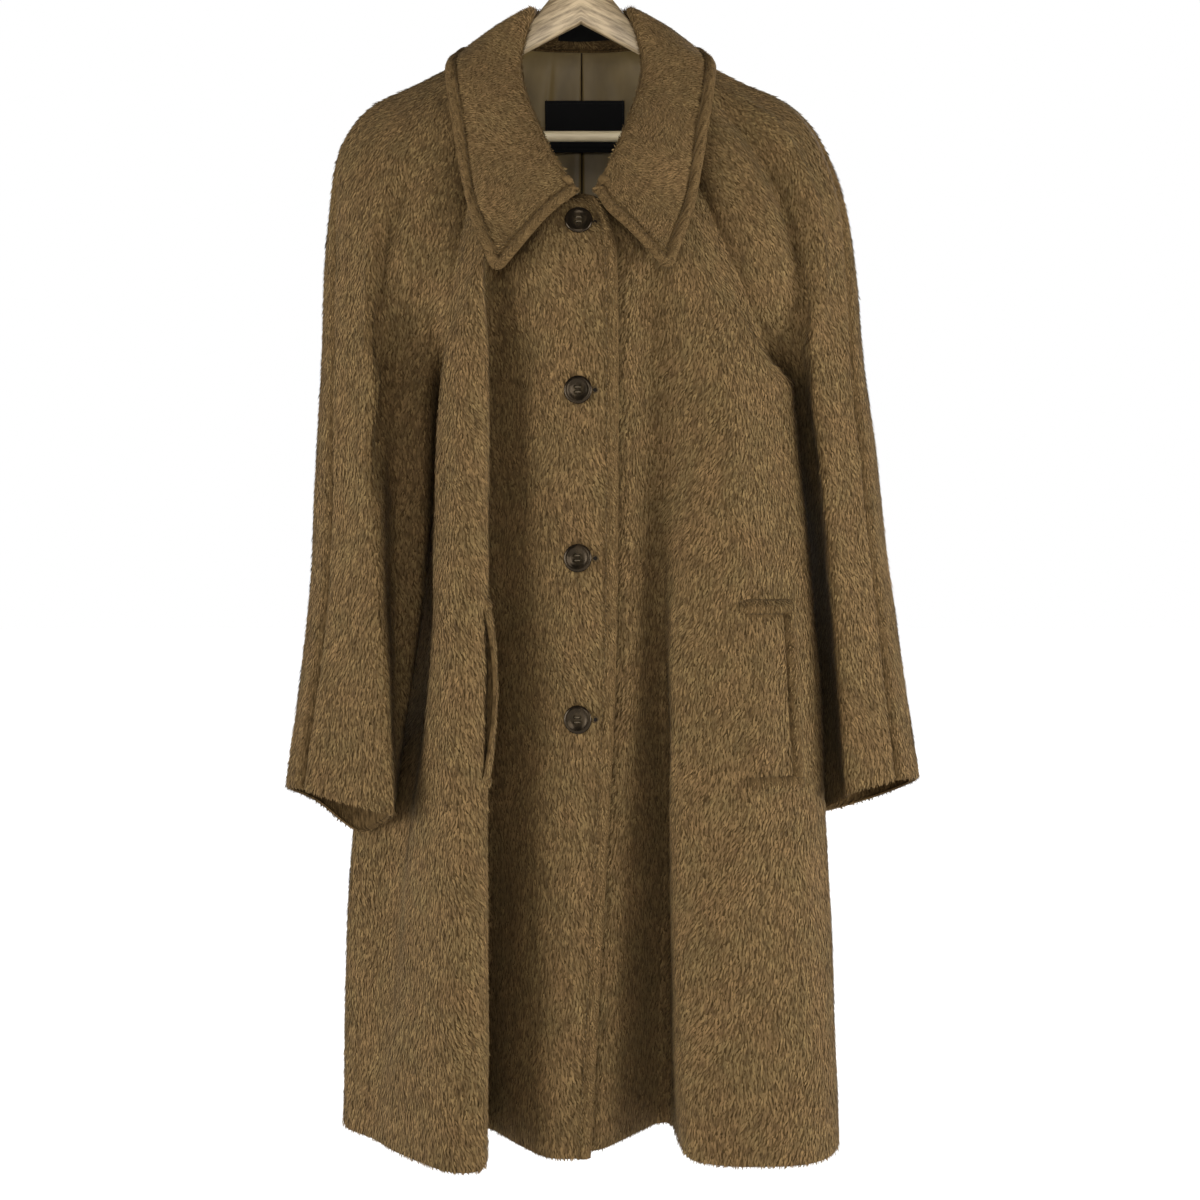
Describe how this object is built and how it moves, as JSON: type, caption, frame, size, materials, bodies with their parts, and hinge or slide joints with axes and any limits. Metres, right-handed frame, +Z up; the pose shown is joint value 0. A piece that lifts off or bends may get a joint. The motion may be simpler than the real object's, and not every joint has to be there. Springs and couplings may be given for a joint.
{
  "type": "balmacaan coat on a hanger",
  "caption": "Knee-length raglan coat of shaggy brown wool, with a turn-down collar, buttoned front and slanted welt pockets, hanging open at neck, hem and cuffs on a wooden hanger.",
  "frame": {"origin": "The inner crown of the hanger's hook, where a rail would touch it", "axes": "+Z up, the coat's front faces -Y, the wearer's right is -X"},
  "size_m": [0.583, 0.251, 1.1582],
  "materials": {
    "brushed_wool": "long brushed nap",
    "lining_satin": "satin",
    "black_tape": "woven, matte",
    "dark_horn": "polished",
    "oak": "satin lacquer",
    "steel_wire": "bright"
  },
  "bodies": {
    "root": {"front_right": "brushed_wool", "front_left": "brushed_wool", "back": "brushed_wool", "sleeve_right_front": "brushed_wool", "sleeve_right_back": "brushed_wool", "sleeve_left_front": "brushed_wool", "sleeve_left_back": "brushed_wool", "collar": "brushed_wool", "welt_right": "brushed_wool", "welt_left": "brushed_wool", "lining": "lining_satin", "label": "black_tape", "hang_loop": "black_tape", "button_1": "dark_horn", "button_2": "dark_horn", "button_3": "dark_horn", "button_4": "dark_horn", "hanger_arms": "oak", "hanger_bar": "oak", "hanger_hook": "steel_wire"}
  },
  "joints": []
}
